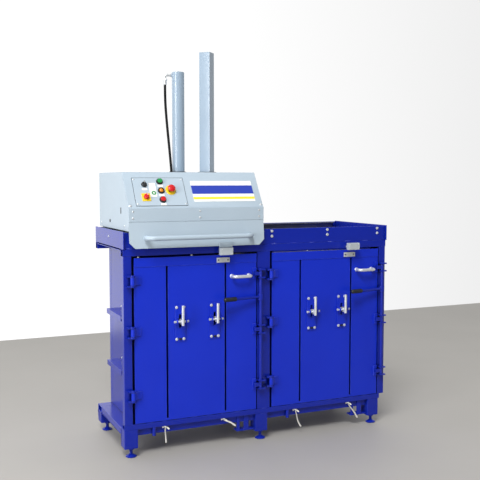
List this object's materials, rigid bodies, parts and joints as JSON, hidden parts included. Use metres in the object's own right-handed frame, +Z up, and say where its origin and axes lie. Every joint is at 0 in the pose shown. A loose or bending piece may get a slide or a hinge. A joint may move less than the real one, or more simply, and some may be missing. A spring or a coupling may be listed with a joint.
{
  "type": "two-chamber baling press",
  "caption": "Blue two-chamber baling press for waste with a grey press head that slides along rails from chamber to chamber, strap slots in its doors and shaft locks",
  "frame": {"origin": "on the floor, below the middle of the press's bounding box", "axes": "X along the two chambers, Y from the doors to the rear, Z up"},
  "size_m": [1.594, 0.682, 2.161],
  "materials": {
    "blue_paint": "glossy powder coat",
    "grey_paint": "satin powder coat",
    "zinc_steel": "zinc plated",
    "tube_steel": "grey primer",
    "chromed_rod": "hard chromed and ground",
    "black_plastic": "moulded",
    "black_rubber": "extruded",
    "white_strap": "woven polyester",
    "grey_plastic": "moulded",
    "yellow_plastic": "moulded",
    "red_plastic": "moulded",
    "green_plastic": "moulded",
    "wheel_steel": "turned"
  },
  "bodies": {
    "chassis": {"base_frame": "blue_paint", "levelling_feet": "blue_paint", "front_posts": "blue_paint", "rear_posts": "blue_paint", "front_beam": "blue_paint", "rear_beam": "blue_paint", "end_plates": "blue_paint", "track_rails": "blue_paint", "left_side_wall": "blue_paint", "right_side_wall": "blue_paint", "divider_walls": "blue_paint", "rear_walls": "blue_paint", "chamber_floors": "blue_paint", "hinge_brackets": "blue_paint", "lock_bearings": "blue_paint", "reel_trays": "blue_paint", "head_switches": "grey_plastic", "strap_tail_1": "white_strap", "strap_tail_2": "white_strap", "strap_tail_3": "white_strap", "strap_tail_4": "white_strap"},
    "head": {"head_carriage": "tube_steel", "head_cover": "grey_paint", "front_apron": "grey_paint", "apron_handle": "grey_paint", "control_panel": "grey_paint", "panel_fittings": "yellow_plastic", "control_enclosure": "grey_plastic", "cylinder_barrel": "grey_paint", "hose_fittings": "zinc_steel", "hydraulic_hose": "black_rubber", "guide_block": "tube_steel", "hydraulic_tank": "tube_steel", "pump_motor": "tube_steel"},
    "ram": {"press_plate": "grey_paint", "piston_rod": "chromed_rod", "guide_tube": "grey_paint"},
    "left_door_leaf": {"left_door": "blue_paint", "left_door_handle": "zinc_steel", "left_door_fittings": "blue_paint"},
    "left_outer_retainer": {"left_outer_claw": "zinc_steel"},
    "left_inner_retainer": {"left_inner_claw": "zinc_steel"},
    "left_lock": {"left_lock_bar": "blue_paint", "left_lock_grip": "black_plastic"},
    "left_wheels": {"left_wheelset": "wheel_steel"},
    "right_door_leaf": {"right_door": "blue_paint", "right_door_handle": "zinc_steel", "right_door_fittings": "blue_paint"},
    "right_outer_retainer": {"right_outer_claw": "zinc_steel"},
    "right_inner_retainer": {"right_inner_claw": "zinc_steel"},
    "right_lock": {"right_lock_bar": "blue_paint", "right_lock_grip": "black_plastic"},
    "right_wheels": {"right_wheelset": "wheel_steel"},
    "selector": {"selector_knob": "black_plastic"},
    "main_switch": {"main_switch_knob": "red_plastic"},
    "start": {"start_button": "green_plastic"},
    "stop": {"stop_button": "red_plastic"},
    "emergency": {"emergency_stop": "red_plastic"}
  },
  "joints": [
    {"name": "head_slide", "type": "slide", "parent": "chassis", "child": "head", "axis": [1, 0, 0], "range_m": [0, 0.79]},
    {"name": "ram_slide", "type": "slide", "parent": "head", "child": "ram", "axis": [0, 0, -1], "range_m": [0, 0.64]},
    {"name": "left_wheels_turn", "type": "hinge", "parent": "head", "child": "left_wheels", "pos_m": [-0.74, 0.05385, 1.1393], "axis": [0, 1, 0], "range_deg": [0, 1509.3]},
    {"name": "right_wheels_turn", "type": "hinge", "parent": "head", "child": "right_wheels", "pos_m": [-0.05, 0.05385, 1.1393], "axis": [0, 1, 0], "range_deg": [0, 1509.3]},
    {"name": "left_door_hinge", "type": "hinge", "parent": "chassis", "child": "left_door_leaf", "pos_m": [-0.753, -0.25565, 0.181], "axis": [0, 0, -1], "range_deg": [0, 100]},
    {"name": "left_lock_turn", "type": "hinge", "parent": "chassis", "child": "left_lock", "pos_m": [-0.029, -0.25565, 0.81197], "axis": [0, 0, 1], "range_deg": [0, 80]},
    {"name": "left_outer_claw_turn", "type": "hinge", "parent": "left_door_leaf", "child": "left_outer_retainer", "pos_m": [-0.49025, -0.25865, 0.70696], "axis": [1, 0, 0], "range_deg": [0, 30]},
    {"name": "left_inner_claw_turn", "type": "hinge", "parent": "left_door_leaf", "child": "left_inner_retainer", "pos_m": [-0.29325, -0.25865, 0.70696], "axis": [1, 0, 0], "range_deg": [0, 30]},
    {"name": "right_door_hinge", "type": "hinge", "parent": "chassis", "child": "right_door_leaf", "pos_m": [0.037, -0.25565, 0.181], "axis": [0, 0, -1], "range_deg": [0, 100]},
    {"name": "right_lock_turn", "type": "hinge", "parent": "chassis", "child": "right_lock", "pos_m": [0.761, -0.25565, 0.81197], "axis": [0, 0, 1], "range_deg": [0, 80]},
    {"name": "right_outer_claw_turn", "type": "hinge", "parent": "right_door_leaf", "child": "right_outer_retainer", "pos_m": [0.29975, -0.25865, 0.70696], "axis": [1, 0, 0], "range_deg": [0, 30]},
    {"name": "right_inner_claw_turn", "type": "hinge", "parent": "right_door_leaf", "child": "right_inner_retainer", "pos_m": [0.49675, -0.25865, 0.70696], "axis": [1, 0, 0], "range_deg": [0, 30]},
    {"name": "selector_turn", "type": "hinge", "parent": "head", "child": "selector", "pos_m": [-0.668, -0.18615, 1.423], "axis": [0, -0.8424, 0.5389], "range_deg": [-45, 45]},
    {"name": "main_switch_turn", "type": "hinge", "parent": "head", "child": "main_switch", "pos_m": [-0.668, -0.2271, 1.359], "axis": [0, -0.8424, 0.5389], "range_deg": [0, 90]},
    {"name": "start_press", "type": "slide", "parent": "head", "child": "start", "axis": [0, 0.8424, -0.5389], "range_m": [0, 0.004], "stiffness_N_per_m": 900},
    {"name": "stop_press", "type": "slide", "parent": "head", "child": "stop", "axis": [0, 0.8424, -0.5389], "range_m": [0, 0.004], "stiffness_N_per_m": 900},
    {"name": "emergency_press", "type": "slide", "parent": "head", "child": "emergency", "axis": [0, 0.8424, -0.5389], "range_m": [0, 0.006], "stiffness_N_per_m": 900}
  ],
  "couplings": [
    {"joint": "left_wheels_turn", "follows": "head_slide", "rad_per_m": 33.333},
    {"joint": "right_wheels_turn", "follows": "head_slide", "rad_per_m": 33.333}
  ]
}
